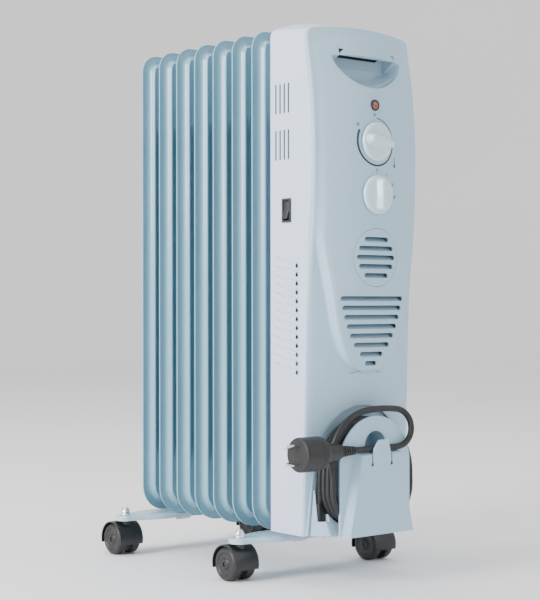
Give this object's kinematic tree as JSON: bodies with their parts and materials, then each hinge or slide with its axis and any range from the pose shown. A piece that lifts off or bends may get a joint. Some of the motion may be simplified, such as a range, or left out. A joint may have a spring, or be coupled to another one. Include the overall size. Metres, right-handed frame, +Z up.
{
  "type": "oil filled radiator heater",
  "caption": "Mobile oil filled radiator heater: pressed steel fins on headers, control housing with two dials, fan grille and cord winder, on twin-wheel casters.",
  "frame": {"origin": "centre of the footprint on the floor, measured without the cord and its plug", "axes": "+Z up; the control panel faces -Y and the fins are stacked towards +Y; +X is the right hand of a person who faces the panel"},
  "size_m": [0.2693, 0.4044, 0.653],
  "materials": {
    "fin_paint": "semi gloss enamel, pale grey with a blue-green cast",
    "shell_paint": "fine powder coat, pale blue-grey",
    "cover_plastic": "satin moulded plastic, pale grey-blue",
    "foot_paint": "semi gloss enamel, pale grey-blue",
    "caster_plastic": "black nylon, slightly glossy",
    "tyre": "black, satin",
    "chrome": "bright",
    "zinc_steel": "zinc plated, dull",
    "dark_plastic": "black, fine texture",
    "lamp_lens": "clear red-brown lens, unlit",
    "knob_plastic": "glossy, near white",
    "white_plastic": "plain moulded",
    "ceramic": "phenolic and ceramic electrical parts",
    "cord_rubber": "black, matte to satin"
  },
  "bodies": {
    "chassis": {"fin_1": "fin_paint", "fin_2": "fin_paint", "fin_3": "fin_paint", "fin_4": "fin_paint", "fin_5": "fin_paint", "fin_6": "fin_paint", "fin_7": "fin_paint", "heating_element": "zinc_steel", "oil_filler_plug": "zinc_steel", "front_feet_bracket": "foot_paint", "rear_feet_bracket": "foot_paint", "front_u_bolt": "zinc_steel", "rear_u_bolt": "zinc_steel", "front_wing_nut_left": "zinc_steel", "front_wing_nut_right": "zinc_steel", "rear_wing_nut_left": "zinc_steel", "rear_wing_nut_right": "zinc_steel", "caster_front_left_bolt": "chrome", "caster_front_right_bolt": "chrome", "caster_rear_left_bolt": "chrome", "caster_rear_right_bolt": "chrome", "housing_side_shell": "shell_paint", "housing_back_panel": "shell_paint", "housing_base_plate": "shell_paint", "front_cover": "cover_plastic", "grille_insert": "cover_plastic", "thermostat_body": "ceramic", "selector_switch_body": "dark_plastic", "pilot_lamp_lens": "lamp_lens", "pilot_lamp_holder": "dark_plastic", "fan_switch_bezel": "dark_plastic", "fan_frame": "dark_plastic", "fan_motor": "zinc_steel", "fan_heater_grid": "ceramic", "thermal_cutout": "ceramic", "terminal_block": "white_plastic", "cord_winder_core": "cover_plastic", "cord_winder_plate": "cover_plastic", "cord_gland": "cord_rubber", "cord_coil": "cord_rubber", "cord_lead": "cord_rubber", "plug": "cord_rubber"},
    "thermostat_knob": {"thermostat_knob": "knob_plastic"},
    "selector_knob": {"selector_knob": "knob_plastic"},
    "fan_rocker": {"fan_rocker": "dark_plastic"},
    "fan_impeller": {"fan_impeller": "dark_plastic"},
    "caster_front_left_swivel": {"caster_front_left_fork": "caster_plastic"},
    "caster_front_left_wheel_left": {"caster_front_left_wheel_left": "tyre"},
    "caster_front_left_wheel_right": {"caster_front_left_wheel_right": "tyre"},
    "caster_front_right_swivel": {"caster_front_right_fork": "caster_plastic"},
    "caster_front_right_wheel_left": {"caster_front_right_wheel_left": "tyre"},
    "caster_front_right_wheel_right": {"caster_front_right_wheel_right": "tyre"},
    "caster_rear_left_swivel": {"caster_rear_left_fork": "caster_plastic"},
    "caster_rear_left_wheel_left": {"caster_rear_left_wheel_left": "tyre"},
    "caster_rear_left_wheel_right": {"caster_rear_left_wheel_right": "tyre"},
    "caster_rear_right_swivel": {"caster_rear_right_fork": "caster_plastic"},
    "caster_rear_right_wheel_left": {"caster_rear_right_wheel_left": "tyre"},
    "caster_rear_right_wheel_right": {"caster_rear_right_wheel_right": "tyre"}
  },
  "joints": [
    {"name": "thermostat_turn", "type": "hinge", "parent": "chassis", "child": "thermostat_knob", "pos_m": [0, -0.1829, 0.50502], "axis": [0, 1, 0], "range_deg": [-280, 18]},
    {"name": "selector_turn", "type": "hinge", "parent": "chassis", "child": "selector_knob", "pos_m": [0, -0.1843, 0.44452], "axis": [0, 1, 0], "range_deg": [0, 93]},
    {"name": "fan_rocker_tilt", "type": "hinge", "parent": "chassis", "child": "fan_rocker", "pos_m": [-0.0815, -0.1188, 0.42652], "axis": [0, -1, 0], "range_deg": [0, 20]},
    {"name": "fan_spin", "type": "hinge", "parent": "chassis", "child": "fan_impeller", "pos_m": [0, -0.1378, 0.30002], "axis": [0, 1, 0], "continuous": true},
    {"name": "front_left_swivel", "type": "hinge", "parent": "chassis", "child": "caster_front_left_swivel", "pos_m": [-0.11, -0.0688, 0.01962], "axis": [0, 0, 1], "continuous": true},
    {"name": "front_left_wheel_left_spin", "type": "hinge", "parent": "caster_front_left_swivel", "child": "caster_front_left_wheel_left", "pos_m": [-0.11, -0.0608, 0.01962], "axis": [1, 0, 0], "continuous": true},
    {"name": "front_left_wheel_right_spin", "type": "hinge", "parent": "caster_front_left_swivel", "child": "caster_front_left_wheel_right", "pos_m": [-0.11, -0.0608, 0.01962], "axis": [1, 0, 0], "continuous": true},
    {"name": "front_right_swivel", "type": "hinge", "parent": "chassis", "child": "caster_front_right_swivel", "pos_m": [0.11, -0.0688, 0.01962], "axis": [0, 0, 1], "continuous": true},
    {"name": "front_right_wheel_left_spin", "type": "hinge", "parent": "caster_front_right_swivel", "child": "caster_front_right_wheel_left", "pos_m": [0.11, -0.0608, 0.01962], "axis": [1, 0, 0], "continuous": true},
    {"name": "front_right_wheel_right_spin", "type": "hinge", "parent": "caster_front_right_swivel", "child": "caster_front_right_wheel_right", "pos_m": [0.11, -0.0608, 0.01962], "axis": [1, 0, 0], "continuous": true},
    {"name": "rear_left_swivel", "type": "hinge", "parent": "chassis", "child": "caster_rear_left_swivel", "pos_m": [-0.11, 0.1672, 0.01962], "axis": [0, 0, 1], "continuous": true},
    {"name": "rear_left_wheel_left_spin", "type": "hinge", "parent": "caster_rear_left_swivel", "child": "caster_rear_left_wheel_left", "pos_m": [-0.11, 0.1752, 0.01962], "axis": [1, 0, 0], "continuous": true},
    {"name": "rear_left_wheel_right_spin", "type": "hinge", "parent": "caster_rear_left_swivel", "child": "caster_rear_left_wheel_right", "pos_m": [-0.11, 0.1752, 0.01962], "axis": [1, 0, 0], "continuous": true},
    {"name": "rear_right_swivel", "type": "hinge", "parent": "chassis", "child": "caster_rear_right_swivel", "pos_m": [0.11, 0.1672, 0.01962], "axis": [0, 0, 1], "continuous": true},
    {"name": "rear_right_wheel_left_spin", "type": "hinge", "parent": "caster_rear_right_swivel", "child": "caster_rear_right_wheel_left", "pos_m": [0.11, 0.1752, 0.01962], "axis": [1, 0, 0], "continuous": true},
    {"name": "rear_right_wheel_right_spin", "type": "hinge", "parent": "caster_rear_right_swivel", "child": "caster_rear_right_wheel_right", "pos_m": [0.11, 0.1752, 0.01962], "axis": [1, 0, 0], "continuous": true}
  ]
}
